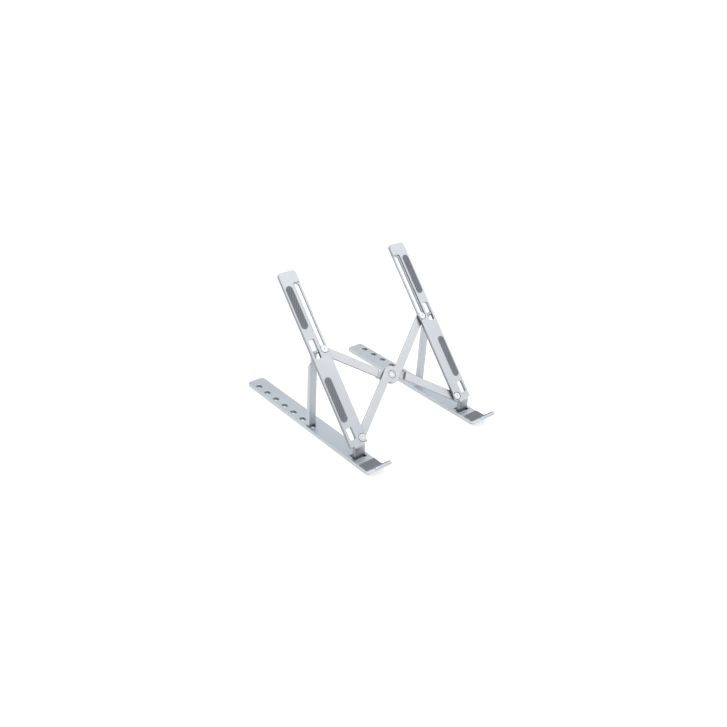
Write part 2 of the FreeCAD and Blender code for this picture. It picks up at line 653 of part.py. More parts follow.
def strut():
    """Channel-section prop: knuckle in the arm's window above, tooth in a hole of the base bar below."""
    length = strut_length()
    x_low = STRUT_OFFSET - STRUT_WIDTH / 2
    x_high = STRUT_OFFSET + STRUT_WIDTH / 2
    back = STRUT_FACE + STRUT_DEPTH
    channel = box(x_low, x_high, STRUT_FACE, back, -length, -STRUT_TOP_BELOW_PIN)
    hollow = box(x_low + STRUT_WALL, x_high - STRUT_WALL, STRUT_FACE + STRUT_WALL, back + CUT_PAST,
                 STRUT_FOOT_HEIGHT - length, 0)
    channel = channel.cut([hollow, strut_top_slope(x_low - CUT_PAST, x_high + CUT_PAST, back)])
    front_edges = upright_edges(channel, lambda p: p.y < STRUT_FACE + TOLERANCE)
    channel = channel.makeChamfer(EDGE_BREAK, front_edges)
    solid = channel.fuse([strut_knuckle(), strut_tooth(length)]).removeSplitter()
    bore = rod_x(x_low, x_high, 0, 0, STRUT_PIN_RADIUS + RUNNING_GAP)
    return placed(solid.cut(bore), strut_placement())


def strut_top_slope(x_low, x_high, back):
    """The wedge cut off the channel's two flanks at their upper end."""
    top = -STRUT_TOP_BELOW_PIN
    front = STRUT_FACE + STRUT_WALL
    steepness = STRUT_TOP_SLOPE / (back - front)
    wedge = [
        Vector(x_low, back + CUT_PAST, top + CUT_PAST),
        Vector(x_low, front, top + CUT_PAST),
        Vector(x_low, front, top),
        Vector(x_low, back + CUT_PAST, top - STRUT_TOP_SLOPE - steepness * CUT_PAST),
    ]
    return prism(wedge, Vector(x_high - x_low, 0, 0))


def strut_knuckle():
    """The narrow neck that goes up from the channel into the window, and its eye round the pin."""
    x_low = WINDOW_OFFSET - KNUCKLE_WIDTH / 2
    eye = rod_x(x_low, x_low + KNUCKLE_WIDTH, 0, 0, KNUCKLE_RADIUS)
    rear = STRUT_FACE + NECK_THICKNESS
    low = -STRUT_TOP_BELOW_PIN - NECK_OVERLAP
    neck = [
        Vector(x_low, -KNUCKLE_RADIUS, 0),
        Vector(x_low, KNUCKLE_RADIUS, 0),
        Vector(x_low, rear, -NECK_TOP_BELOW_PIN),
        Vector(x_low, rear, low),
        Vector(x_low, STRUT_FACE, low),
        Vector(x_low, STRUT_FACE, -NECK_SLOPE_BELOW_PIN),
    ]
    return eye.fuse(prism(neck, Vector(KNUCKLE_WIDTH, 0, 0)))


def strut_tooth(length):
    """The tooth under the strut's foot."""
    half = TOOTH_WIDTH / 2
    front = STRUT_FACE + TOOTH_BEHIND_FACE
    low = -length - WORKING_GAP - TOOTH_DEPTH
    tooth = box(HOLE_OFFSET - half, HOLE_OFFSET + half, front, front + TOOTH_THICKNESS,
                low, STRUT_FOOT_HEIGHT / 2 - length)
    return tooth.makeChamfer(EDGE_BREAK, level_edges(tooth, low))


def right_side():
    """Every piece that stands twice in the stand, drawn on the right."""
    washer_top = ARM_THICKNESS + RUNNING_GAP
    return {
        "base_bar": base_bar(),
        "hook_pad": hook_pad(),
        "front_foot": front_foot(),
        "rear_foot": rear_foot(),
        "hinge_pin": hinge_pin(),
        "arm": arm(),
        "lower_pad": arm_pad("lower"),
        "upper_pad": arm_pad("upper"),
        "strut_pin": strut_pin(),
        "strut": strut(),
        "pivot_rivet": pivot_rivet(),
        "pivot_washer": washer(RIVET_X, PIVOT_RIVET_S, washer_top, PIVOT_SHANK_RADIUS + RUNNING_GAP),
        "slider_rivet": slider_rivet(),
        "slider_washer": washer(RIVET_X, SLIDER_REST_S, washer_top, SLIDER_SHANK_RADIUS + RUNNING_GAP),
    }


def build():
    """All the nodes of the stand, by name."""
    nodes = {
        "top_link": top_link(),
        "under_link": under_link(),
        "hub_rivet": hub_rivet(),
        "hub_washer": washer(0, HUB_S, LINK_UNDER_DEPTH + RUNNING_GAP, HUB_SHANK_RADIUS + RUNNING_GAP),
    }
    for name, shape in right_side().items():
        nodes[name + "_right"] = shape
        nodes[name + "_left"] = shape.mirror(Vector(0, 0, 0), Vector(1, 0, 0))
    return nodes


def main():
    """Writes each piece as its own STEP file."""
    os.makedirs("parts", exist_ok=True)
    for name, shape in build().items():
        solids = shape.Solids
        if len(solids) != 1 or not solids[0].isValid():
            raise RuntimeError(name + " is not one valid solid")
        solids[0].exportStep(os.path.join("parts", name + ".step"))


if __name__ == "__main__":
    main()
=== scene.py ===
import json
import math

import bpy
from mathutils import Matrix, Vector


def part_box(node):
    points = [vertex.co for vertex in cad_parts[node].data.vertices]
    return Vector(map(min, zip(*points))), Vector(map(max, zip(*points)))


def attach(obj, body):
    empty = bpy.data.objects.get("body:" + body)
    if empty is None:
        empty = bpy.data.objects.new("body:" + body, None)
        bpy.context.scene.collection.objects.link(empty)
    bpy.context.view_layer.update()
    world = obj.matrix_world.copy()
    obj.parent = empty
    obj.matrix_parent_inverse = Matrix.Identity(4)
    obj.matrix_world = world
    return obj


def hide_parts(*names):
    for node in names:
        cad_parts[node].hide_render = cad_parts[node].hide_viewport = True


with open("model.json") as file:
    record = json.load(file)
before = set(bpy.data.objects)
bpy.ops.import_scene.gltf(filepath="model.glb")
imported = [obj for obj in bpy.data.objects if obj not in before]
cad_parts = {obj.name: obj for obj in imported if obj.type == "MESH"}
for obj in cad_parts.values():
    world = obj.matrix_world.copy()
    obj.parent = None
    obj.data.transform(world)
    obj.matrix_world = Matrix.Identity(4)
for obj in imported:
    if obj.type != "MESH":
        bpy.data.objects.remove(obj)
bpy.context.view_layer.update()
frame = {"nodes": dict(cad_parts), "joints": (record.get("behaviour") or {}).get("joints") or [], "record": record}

# Folding laptop stand. Lengths are in metres and angles in degrees, in the part's own frame.

# Camera
CAMERA_AZIMUTH = -41.02
CAMERA_ELEVATION = 28.64
CAMERA_ROLL = 2.45
CAMERA_DISTANCE = 0.92595
CAMERA_TARGET = Vector((0.0, 0.00988, 0.05377))
CAMERA_LENS = 37.63
CAMERA_SENSOR = 36.0

# Silicone pads
PAD_GRID = 0.00026
PAD_EDGE_ROUND = 0.0004
PAD_CROWN = 0.00008
PAD_RIM_ANGLES = (0, 22, 44, 66, 90)
PAD_SHARP_ANGLE = 50.0
RIB_PITCH = 0.0021
RIB_ANGLE = 24.0
RIB_DEPTH = 0.00028
RIB_RIM_MARGIN = 0.0006
GROOVE_SHADE = 0.60
HOOK_FLAT_LENGTH = 0.011
HOOK_BEND_RADIUS = 0.007
HOOK_ANGLE = 44.0
HOOK_PAD_CORNER = 0.0015
FRONT_FOOT_CORNER = 0.002
LIP_MARGIN = 0.002
SMALLEST_FLAT = 0.000001

# A corner radius larger than any pad, which ribbed_pad cuts down to half of the pad's width
FULL_ROUND = 1.0

# Colours, linear
ARM_SILVER = (0.63, 0.66, 0.695)
BASE_SILVER = (0.585, 0.63, 0.67)
LINK_SILVER = (0.66, 0.68, 0.70)
# The struts are the same aluminium, given a darker colour as painted shade on their front faces
STRUT_SHADED_SILVER = (0.50, 0.53, 0.56)
NICKEL = (0.86, 0.87, 0.88)
HUB_SATIN = (0.66, 0.675, 0.70)
PIN_STEEL = (0.50, 0.51, 0.53)
SILICONE_GREY = (0.160, 0.174, 0.196)
NYLON_WHITE = (0.80, 0.80, 0.77)
FLOOR_WHITE = (0.42, 0.42, 0.42)
FLOOR_GLOW = 0.72

# Anodised finish: sizes of its patterns in features per metre, and how strongly each one shows
BLAST_SCALE = 3800.0
BLAST_HEIGHT = 0.000012
BLAST_STRENGTH = 0.55
MOTTLE_SCALE = 420.0
MOTTLE_TONE = 0.80
MOTTLE_FROM_TO = (0.45, 0.75)
MOTTLE_STRENGTH = 0.10
CLOUD_SCALE = 26.0
CLOUD_TONES = (0.965, 1.02)
LINE_TONE = 0.86
LINE_FROM_TO = (0.35, 0.70)
LINE_STRENGTH = 0.16
LINE_HEIGHT = 0.6
# Edge band: worn smoother, and made darker as painted shade
WORN_AND_SHADED_EDGE_WIDTH = 0.0005
WORN_EDGE_POLISH = 0.12
WEAR_AND_SHADE_FROM_TO = (0.30, 0.65)
LEAST_WEAR_AND_SHADE = 0.55
# Painted shade in corners and openings: how far it reaches, how dark it is and how strongly it shows
PAINTED_SHADE_REACH = 0.008
PAINTED_SHADE_TONE = 0.20
PAINTED_SHADE_STRENGTH = 0.90
ANODISED_GLOSS_SPREAD = (0.05, 0.06)

# Plated and satin metal
MARK_SCALE = 1500.0
MARK_HEIGHT = 0.000008
MARK_STRENGTH = 0.5
HAZE_SCALE = 300.0
# Reach of the painted shade in the corners round rivets and pins
CREVICE_REACH = 0.0012
# Width of the rounded edges on plated parts, which are painted lighter as a highlight
PLATED_EDGE_WIDTH = 0.00025
# Radius of the hub's polished centre, which is also painted lighter as a highlight
HUB_DIMPLE_RADIUS = 0.0026

# Silicone and nylon
SKIN_SCALE = 5200.0
SKIN_HEIGHT = 0.00003
SKIN_STRENGTH = 0.5
DUST_SCALE = 700.0
DUST_TONE = 1.9
DUST_FROM_TO = (0.50, 0.78)
DUST_STRENGTH = 0.30
GROOVE_FROM_TO = (0.25, 0.95)
SILICONE_CLOUD_SCALE = 60.0
SILICONE_ROUGHNESS = (0.56, 0.72)
FLOW_SCALE = 500.0
FLOW_HEIGHT = 0.00002
FLOW_STRENGTH = 0.3
NYLON_ROUGHNESS = (0.38, 0.50)

# Shared by the materials
NOISE_MIDDLE = (0.3, 0.7)
EDGE_SAMPLES = 6
EDGE_FROM_TO = (0.985, 0.85)
PAINTED_SHADE_SAMPLES = 8
PAINTED_SHADE_FROM_TO = (0.30, 0.85)

# Light table floor and studio lights
FLOOR_HALF_SIZE = 30.0
FLOOR_TOOTH_SCALE = 900.0
LIGHT_TARGET = (0.0, 0.0, 0.05)
KEY_LIGHT = {"place": (-0.9, -1.1, 2.1), "size": (1.6, 1.6), "power": 8.0}
FILL_LIGHT = {"place": (1.6, -0.9, 1.3), "size": (1.4, 1.4), "power": 2.0}
TOP_LIGHT = {"place": (0.0, 0.4, 2.6), "size": (2.4, 2.4), "power": 8.0}
SKY_TINT = (0.97, 0.985, 1.0, 1.0)
SKY_DIM = 0.50
SKY_OVERHEAD = 1.60
SKY_HEIGHT_FROM_TO = (0.45, 1.0)
SKY_SIDE_GAIN = 0.25
SKY_SIDE_FROM_TO = (0.3, 0.95)
SKY_HORIZON_GAIN = 0.50
SKY_HORIZON_FROM_TO = (0.20, 0.36)

SIDES = ("left", "right")


# Node helpers

def new_material(name):
    """A node material, with its node tree and its shader."""
    material = bpy.data.materials.new(name)
    material.use_nodes = True
    tree = material.node_tree
    tree.nodes.clear()
    output = tree.nodes.new("ShaderNodeOutputMaterial")
    shader = tree.nodes.new("ShaderNodeBsdfPrincipled")
    tree.links.new(shader.outputs["BSDF"], output.inputs["Surface"])
    return material, tree, shader


def object_coordinates(tree):
    """The place of each point in its piece's own frame."""
    return tree.nodes.new("ShaderNodeTexCoord").outputs["Object"]


def stretched(tree, vector, scale):
    """Coordinates scaled along each axis."""
    mapping = tree.nodes.new("ShaderNodeMapping")
    mapping.inputs["Scale"].default_value = scale
    tree.links.new(vector, mapping.inputs["Vector"])
    return mapping.outputs["Vector"]


def noise(tree, vector, scale, detail, roughness=0.55):
    """A noise pattern with a number of features per metre."""
    node = tree.nodes.new("ShaderNodeTexNoise")
    node.inputs["Scale"].default_value = scale
    node.inputs["Detail"].default_value = detail
    node.inputs["Roughness"].default_value = roughness
    tree.links.new(vector, node.inputs["Vector"])
    return node.outputs["Fac"]


def ranged(tree, value, low, high, to_low, to_high):
    """A value carried from one range to another, clamped."""
    node = tree.nodes.new("ShaderNodeMapRange")
    for socket, number in zip(("From Min", "From Max", "To Min", "To Max"), (low, high, to_low, to_high)):
        node.inputs[socket].default_value = number
    tree.links.new(value, node.inputs["Value"])
    return node.outputs["Result"]


def spread(tree, pattern, lowest, highest):
    """A noise pattern, whose values lie mostly in its middle range, carried to another range."""
    return ranged(tree, pattern, *NOISE_MIDDLE, lowest, highest)


def combined(tree, operation, first, second):
    """Two values, or a value and a number, put together."""
    node = tree.nodes.new("ShaderNodeMath")
    node.operation = operation
    for socket, value in zip(node.inputs, (first, second)):
        if isinstance(value, (int, float)):
            socket.default_value = value
        else:
            tree.links.new(value, socket)
    return node.outputs[0]


def blended(tree, factor, first, second):
    """Two colours mixed by a factor."""
    node = tree.nodes.new("ShaderNodeMix")
    node.data_type = "RGBA"
    tree.links.new(factor, node.inputs["Factor"])
    for socket, value in zip(("A", "B"), (first, second)):
        target = [s for s in node.inputs if s.name == socket and s.type == "RGBA"][0]
        if isinstance(value, tuple):
            target.default_value = (*value, 1.0)
        else:
            tree.links.new(value, target)
    return [s for s in node.outputs if s.type == "RGBA"][0]


def shaded(colour, factor):
    """A colour made darker or lighter."""
    return tuple(min(1.0, c * factor) for c in colour)


def clouded(tree, pattern, colour, darkest, lightest):
    """A colour that drifts between a darker and a lighter tone with a pattern."""
    return blended(tree, spread(tree, pattern, 0.0, 1.0), shaded(colour, darkest), shaded(colour, lightest))


def bumped(tree, height, distance, strength, normal=None):
    """A normal that follows fine relief; the distance is the relief's height."""
    node = tree.nodes.new("ShaderNodeBump")
    node.inputs["Distance"].default_value = distance
    node.inputs["Strength"].default_value = strength
    tree.links.new(height, node.inputs["Height"])
    if normal is not None:
        tree.links.new(normal, node.inputs["Normal"])
    return node.outputs["Normal"]


def edge_mask(tree, radius):
    """White on sharp edges: how far the rounded normal turns from the true one."""
    bevel = tree.nodes.new("ShaderNodeBevel")
    bevel.samples = EDGE_SAMPLES
    bevel.inputs["Radius"].default_value = radius
    geometry = tree.nodes.new("ShaderNodeNewGeometry")
    dot = tree.nodes.new("ShaderNodeVectorMath")
    dot.operation = "DOT_PRODUCT"
    tree.links.new(bevel.outputs["Normal"], dot.inputs[0])
    tree.links.new(geometry.outputs["Normal"], dot.inputs[1])
    return ranged(tree, dot.outputs["Value"], *EDGE_FROM_TO, 0.0, 1.0), bevel.outputs["Normal"]


# Materials

def painted_side_mask(tree, face, turned, facing):
    """White on a flat piece's sides, where the surface turns away from its face direction; the mask for painted
    light and shade on the sides.
    """
    normal = tree.nodes.new("ShaderNodeTexCoord").outputs["Normal"]
    dot = tree.nodes.new("ShaderNodeVectorMath")
    dot.operation = "DOT_PRODUCT"
    tree.links.new(normal, dot.inputs[0])
    dot.inputs[1].default_value = face
    return ranged(tree, combined(tree, "ABSOLUTE", dot.outputs["Value"], 0.0), turned, facing, 1.0, 0.0)


def painted_shade_mask(tree, distance):
    """White in corners and openings, where little light reaches; the materials darken their colour there as
    painted shade.
    """
    hollow = tree.nodes.new("ShaderNodeAmbientOcclusion")
    hollow.samples = PAINTED_SHADE_SAMPLES
    hollow.inputs["Distance"].default_value = distance
    return ranged(tree, hollow.outputs["AO"], *PAINTED_SHADE_FROM_TO, 1.0, 0.0)


def anodised_aluminium(name, colour, roughness, grain_along, face, painted_side_tone, edge_shade_tone, turned, facing):
    """Bead-blasted, clear-anodised aluminium: fine grain, faint rolling lines, sides painted lighter or darker for
    how light falls on them, edges worn smoother and painted darker as shade, and painted shade in corners and
    openings.
    """
    material, tree, shader = new_material(name)
    place = object_coordinates(tree)
    grain = noise(tree, place, BLAST_SCALE, 2.0)
    mottle = noise(tree, place, MOTTLE_SCALE, 4.0)
    cloud = noise(tree, place, CLOUD_SCALE, 2.0)
    lines = noise(tree, stretched(tree, place, grain_along), 1.0, 2.0)
    edge, rounded = edge_mask(tree, WORN_AND_SHADED_EDGE_WIDTH)
    tone = clouded(tree, cloud, colour, *CLOUD_TONES)
    rolled = ranged(tree, lines, *LINE_FROM_TO, 0.0, LINE_STRENGTH)
    tone = blended(tree, rolled, tone, shaded(colour, LINE_TONE))
    mottled = ranged(tree, mottle, *MOTTLE_FROM_TO, 0.0, MOTTLE_STRENGTH)
    tone = blended(tree, mottled, tone, shaded(colour, MOTTLE_TONE))
    # Painted light and shade: the sides are made lighter or darker than the face, as light falls on them.
    tone = blended(tree, painted_side_mask(tree, face, turned, facing), tone, shaded(colour, painted_side_tone))
    # The edge band, patchy along its length: worn smoother below, and made darker here as painted shade.
    worn_and_shaded_edge = combined(tree, "MULTIPLY", edge, ranged(tree, mottle, *WEAR_AND_SHADE_FROM_TO, LEAST_WEAR_AND_SHADE, 1.0))
    tone = blended(tree, worn_and_shaded_edge, tone, shaded(colour, edge_shade_tone))
    # Painted shade: corners, openings and hole walls are made darker where the occlusion mask finds little light.
    painted_shade = combined(tree, "MULTIPLY", painted_shade_mask(tree, PAINTED_SHADE_REACH), PAINTED_SHADE_STRENGTH)
    tone = blended(tree, painted_shade, tone, shaded(colour, PAINTED_SHADE_TONE))
    tree.links.new(tone, shader.inputs["Base Color"])
    below, above = ANODISED_GLOSS_SPREAD
    rough = spread(tree, mottle, roughness - below, roughness + above)
    rough = combined(tree, "SUBTRACT", rough, combined(tree, "MULTIPLY", worn_and_shaded_edge, WORN_EDGE_POLISH))
    tree.links.new(rough, shader.inputs["Roughness"])
    shader.inputs["Metallic"].default_value = 1.0
    height = combined(tree, "ADD", grain, combined(tree, "MULTIPLY", lines, LINE_HEIGHT))
    tree.links.new(bumped(tree, height, BLAST_HEIGHT, BLAST_STRENGTH, rounded), shader.inputs["Normal"])
    return material


def plated_metal(name, colour, roughness):
    """Bright plated steel with fine turning marks, painted shade in its corners and painted highlights on its
    edges.
    """
    material, tree, shader = new_material(name)
    place = object_coordinates(tree)
    marks = noise(tree, place, MARK_SCALE, 3.0)
    haze = noise(tree, place, HAZE_SCALE, 3.0)
    edge, rounded = edge_mask(tree, PLATED_EDGE_WIDTH)
    # Painted shade: the corners round each head are made darker.
    crevice_shade = combined(tree, "MULTIPLY", painted_shade_mask(tree, CREVICE_REACH), 0.7)
    tone = clouded(tree, haze, colour, 0.93, 1.03)
    tone = blended(tree, crevice_shade, tone, shaded(colour, 0.34))
    # Painted highlight: sharp edges are made lighter.
    tone = blended(tree, combined(tree, "MULTIPLY", edge, 0.6), tone, shaded(colour, 1.12))
    tree.links.new(tone, shader.inputs["Base Color"])
    tree.links.new(spread(tree, haze, roughness - 0.05, roughness + 0.07), shader.inputs["Roughness"])
    shader.inputs["Metallic"].default_value = 1.0
    tree.links.new(bumped(tree, marks, MARK_HEIGHT, MARK_STRENGTH, rounded), shader.inputs["Normal"])
    return material


def hub_metal(name, colour, roughness, centre, polish_and_highlight_radius):
    """Satin rivet head like the links round it, with a polished dimple in the middle that is also painted lighter
    as a highlight, and painted shade round the head.
    """
    material, tree, shader = new_material(name)
    place = object_coordinates(tree)
    marks = noise(tree, place, MARK_SCALE, 3.0)
    haze = noise(tree, place, HAZE_SCALE, 3.0)
    apart = tree.nodes.new("ShaderNodeVectorMath")
    apart.operation = "DISTANCE"
    tree.links.new(place, apart.inputs[0])
    apart.inputs[1].default_value = centre
    polish_and_highlight = ranged(tree, apart.outputs["Value"], polish_and_highlight_radius * 0.80, polish_and_highlight_radius, 1.0, 0.0)
    # Painted shade in the corners round the head.
    crevice_shade = combined(tree, "MULTIPLY", painted_shade_mask(tree, CREVICE_REACH), 0.5)
    tone = clouded(tree, haze, colour, 0.95, 1.03)
    tone = blended(tree, crevice_shade, tone, shaded(colour, 0.40))
    # Painted highlight: the polished centre is also made lighter.
    tone = blended(tree, polish_and_highlight, tone, shaded(colour, 1.30))
    tree.links.new(tone, shader.inputs["Base Color"])
    rough = spread(tree, haze, roughness - 0.04, roughness + 0.05)
    tree.links.new(combined(tree, "SUBTRACT", rough, combined(tree, "MULTIPLY", polish_and_highlight, 0.06)),
                   shader.inputs["Roughness"])
    shader.inputs["Metallic"].default_value = 1.0
    tree.links.new(bumped(tree, marks, MARK_HEIGHT, MARK_STRENGTH), shader.inputs["Normal"])
    return material


def silicone(name, colour):
    """Matt moulded silicone with a fine skin, dust on its ribs, painted shade in its grooves and a soft sheen."""
    material, tree, shader = new_material(name)
    place = object_coordinates(tree)
    skin = noise(tree, place, SKIN_SCALE, 3.0)
    dust = noise(tree, place, DUST_SCALE, 4.0)
    cloud = noise(tree, place, SILICONE_CLOUD_SCALE, 2.0)
    tone = clouded(tree, cloud, colour, 0.90, 1.08)
    dusty = ranged(tree, dust, *DUST_FROM_TO, 0.0, DUST_STRENGTH)
    tone = blended(tree, dusty, tone, shaded(colour, DUST_TONE))
    groove = tree.nodes.new("ShaderNodeAttribute")
    groove.attribute_name = "groove"
    # Painted shade: the grooves between the ribs are made darker.
    hollow = ranged(tree, groove.outputs["Fac"], *GROOVE_FROM_TO, 0.0, 1.0)
    tone = blended(tree, hollow, tone, shaded(colour, GROOVE_SHADE))
    tree.links.new(tone, shader.inputs["Base Color"])
    tree.links.new(spread(tree, dust, *SILICONE_ROUGHNESS), shader.inputs["Roughness"])
    shader.inputs["Sheen Weight"].default_value = 0.12
    shader.inputs["Sheen Roughness"].default_value = 0.5
    tree.links.new(bumped(tree, skin, SKIN_HEIGHT, SKIN_STRENGTH), shader.inputs["Normal"])
    return material


def nylon(name, colour):
    """Natural nylon, slightly translucent, with faint moulding flow."""
    material, tree, shader = new_material(name)
    place = object_coordinates(tree)
    flow = noise(tree, place, FLOW_SCALE, 3.0)
    tone = clouded(tree, flow, colour, 0.92, 1.03)
    tree.links.new(tone, shader.inputs["Base Color"])
    tree.links.new(spread(tree, flow, *NYLON_ROUGHNESS), shader.inputs["Roughness"])
    shader.inputs["Subsurface Weight"].default_value = 0.15
    shader.inputs["Subsurface Radius"].default_value = (0.0008, 0.0008, 0.0007)
    tree.links.new(bumped(tree, flow, FLOW_HEIGHT, FLOW_STRENGTH), shader.inputs["Normal"])
    return material


def floor_material(name, colour):
    """The opal top of a light table, softly lit from below, with a very fine tooth."""
    material, tree, shader = new_material(name)
    place = object_coordinates(tree)
    tooth = noise(tree, place, FLOOR_TOOTH_SCALE, 3.0)
    tone = clouded(tree, tooth, colour, 0.99, 1.0)
    tree.links.new(tone, shader.inputs["Base Color"])
    tree.links.new(tone, shader.inputs["Emission Color"])
    shader.inputs["Emission Strength"].default_value = FLOOR_GLOW / colour[0]
    shader.inputs["Roughness"].default_value = 0.9
    shader.inputs["Specular IOR Level"].default_value = 0.1
    return material


# Frame directions

def joint_record(name):
    """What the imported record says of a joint."""
    return [j for j in frame["joints"] if j["name"] == name][0]


def joint_axis(name):
    """The direction that a joint turns about."""
    return Vector(joint_record(name)["axis"]).normalized()


ACROSS = Vector((1.0, 0.0, 0.0))
ARM_NORMAL = joint_axis("scissor_fold")
ARM_ALONG = ARM_NORMAL.cross(ACROSS)


def reach(node, direction):
    """How far a CAD node reaches along a direction: (lowest, highest)."""
    values = [vertex.co.dot(direction) for vertex in frame["nodes"][node].data.vertices]
    return min(values), max(values)


def hub_head_centre():
    """The middle of the hub rivet's head, on its top face."""
    pivot = Vector(joint_record("hub_turn")["pos_m"])
    top = reach("hub_rivet", ARM_NORMAL)[1]
    return pivot + ARM_NORMAL * (top - pivot.dot(ARM_NORMAL))


# Silicone pads

def rim_steps(size, edge):
    """Positions across a pad, close together over its rounded edges."""
    rounding = [edge * (1 - math.cos(math.radians(angle))) for angle in PAD_RIM_ANGLES]
    count = max(2, round((size - 2 * edge) / PAD_GRID))
    middle = [edge + (size - 2 * edge) * i / count for i in range(1, count)]
    return rounding + middle + [size - r for r in reversed(rounding)]


def corner_rounded(u, v, length, width, corner):
    """A point of the pad's rectangle, moved so that its corners are round."""
    a = (abs(u - length / 2) - (length / 2 - corner)) / corner
    b = (abs(v - width / 2) - (width / 2 - corner)) / corner
    if a <= 0 or b <= 0:
        return u, v
    a, b = a * math.sqrt(1 - b * b / 2), b * math.sqrt(1 - a * a / 2)
    new_u = length / 2 - corner + a * corner
    new_v = width / 2 - corner + b * corner
    return length / 2 + math.copysign(new_u, u - length / 2), width / 2 + math.copysign(new_v, v - width / 2)


def rim_distance(u, v, length, width, corner):
    """How far a point lies inside the pad's outline."""
    a = abs(u - length / 2) - (length / 2 - corner)
    b = abs(v - width / 2) - (width / 2 - corner)
    return corner - math.hypot(max(a, 0), max(b, 0)) - min(max(a, b), 0)


def groove_depth(u, v, length, width, corner):
    """How deep a point lies between the slanting ribs, from 0 to 1; the ribs fade out near the rim."""
    inside = rim_distance(u, v, length, width, corner)
    level = min(1.0, max(0.0, (inside - PAD_EDGE_ROUND) / RIB_RIM_MARGIN))
    slant = math.radians(RIB_ANGLE)
    wave = 0.5 - 0.5 * math.cos(2 * math.pi * (v * math.cos(slant) - u * math.sin(slant)) / RIB_PITCH)
    return level * wave


def pad_height(u, v, length, width, thickness, corner):
    """The top of a pad: rounded at its rim, lightly crowned, with grooves between its ribs."""
    inside = max(0.0, rim_distance(u, v, length, width, corner))
    drop = 0.0
    if inside < PAD_EDGE_ROUND:
        drop = PAD_EDGE_ROUND - math.sqrt(PAD_EDGE_ROUND ** 2 - (PAD_EDGE_ROUND - inside) ** 2)
    crown = PAD_CROWN * (1 - (2 * v / width - 1) ** 2)
    groove = groove_depth(u, v, length, width, corner)
    return thickness - PAD_CROWN - drop + crown - RIB_DEPTH * groove


def ribbed_pad(name, length, width, thickness, corner, place, body, material, stands_for):
    """A closed pad over a rectangle u by v, where place(u, v, h) carries it to the frame."""
    corner = min(corner, width / 2 - SMALLEST_FLAT)
    steps_u = rim_steps(length, PAD_EDGE_ROUND)
    steps_v = rim_steps(width, PAD_EDGE_ROUND)
    rows, columns = len(steps_u), len(steps_v)
    top, under, grooves = [], [], []
    for u in steps_u:
        for v in steps_v:
            p, q = corner_rounded(u, v, length, width, corner)
            top.append(place(p, q, pad_height(p, q, length, width, thickness, corner)))
            under.append(place(p, q, 0.0))
            grooves.append(groove_depth(p, q, length, width, corner))
    faces = []
    offset = rows * columns
    for i in range(rows - 1):
        for j in range(columns - 1):
            a, b = i * columns + j, i * columns + j + 1
            c, d = b + columns, a + columns
            faces.append((a, b, c, d))
            faces.append((a + offset, d + offset, c + offset, b + offset))
    rim = list(range(columns))
    rim += [i * columns + columns - 1 for i in range(1, rows)]
    rim += [(rows - 1) * columns + j for j in range(columns - 2, -1, -1)]
    rim += [i * columns for i in range(rows - 2, 0, -1)]
    for a, b in zip(rim, rim[1:] + rim[:1]):
        faces.append((b, a, a + offset, b + offset))
    mesh = bpy.data.meshes.new(name)
    mesh.from_pydata(top + under, [], faces)
    mesh.validate()
    groove = mesh.attributes.new("groove", "FLOAT", "POINT")
    groove.data.foreach_set("value", grooves + [0.0] * len(under))
    mesh.polygons.foreach_set("use_smooth", [True] * len(mesh.polygons))
    mesh.set_sharp_from_angle(angle=math.radians(PAD_SHARP_ANGLE))
    mesh.materials.append(material)
    mesh.update()
    pad = bpy.data.objects.new(name, mesh)
    bpy.context.scene.collection.objects.link(pad)
    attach(pad, body)
    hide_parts(stands_for)
    return pad


def arm_pad(which, side, material):
    """A ribbed pad on an arm's sloping face."""
    node = f"{which}_pad_{side}"
    x_low, x_high = reach(node, ACROSS)
    s_low, s_high = reach(node, ARM_ALONG)
    n_low, n_high = reach(node, ARM_NORMAL)

    def place(u, v, h):
        return ACROSS * (x_low + v) + ARM_ALONG * (s_low + u) + ARM_NORMAL * (n_low + h)

    return ribbed_pad(f"silicone_{node}", s_high - s_low, x_high - x_low, n_high - n_low,
                      (x_high - x_low) / 2, place, f"arm_{side}", material, node)


def ground_pad(which, side, corner, material):
    """A ribbed pad under a base bar, facing down."""
    node = f"{which}_foot_{side}"
    low, high = (Vector(c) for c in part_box(node))

    def place(u, v, h):
        return Vector((high.x - v, low.y + u, high.z - h))

    return ribbed_pad(f"silicone_{node}", high.y - low.y, high.x - low.x, high.z - low.z,
                      corner, place, f"base_{side}", material, node)


def hook_lining(side, material):
    """The strip that lines the hook: flat, round the bend and up the lip."""
    node = f"hook_pad_{side}"
    low, high = (Vector(c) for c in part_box(node))
    bend = math.radians(HOOK_ANGLE)
    flat_z = low.z
    bend_y = high.y - HOOK_FLAT_LENGTH
    arc = HOOK_BEND_RADIUS * bend
    lip = (bend_y - HOOK_BEND_RADIUS * math.sin(bend) - low.y) / math.cos(bend)
    thickness = pad_thickness(node, bend, flat_z, bend_y)

    def place(u, v, h):
        if u < HOOK_FLAT_LENGTH:
            return Vector((low.x + v, high.y - u, flat_z + h))
        turn = min((u - HOOK_FLAT_LENGTH) / HOOK_BEND_RADIUS, bend)
        along = max(0.0, u - HOOK_FLAT_LENGTH - arc)
        radius = HOOK_BEND_RADIUS - h
        y = bend_y - radius * math.sin(turn) - along * math.cos(turn)
        z = flat_z + HOOK_BEND_RADIUS - radius * math.cos(turn) + along * math.sin(turn)
        return Vector((low.x + v, y, z))

    return ribbed_pad(f"silicone_{node}", HOOK_FLAT_LENGTH + arc + lip, high.x - low.x, thickness,
                      HOOK_PAD_CORNER, place, f"base_{side}", material, node)


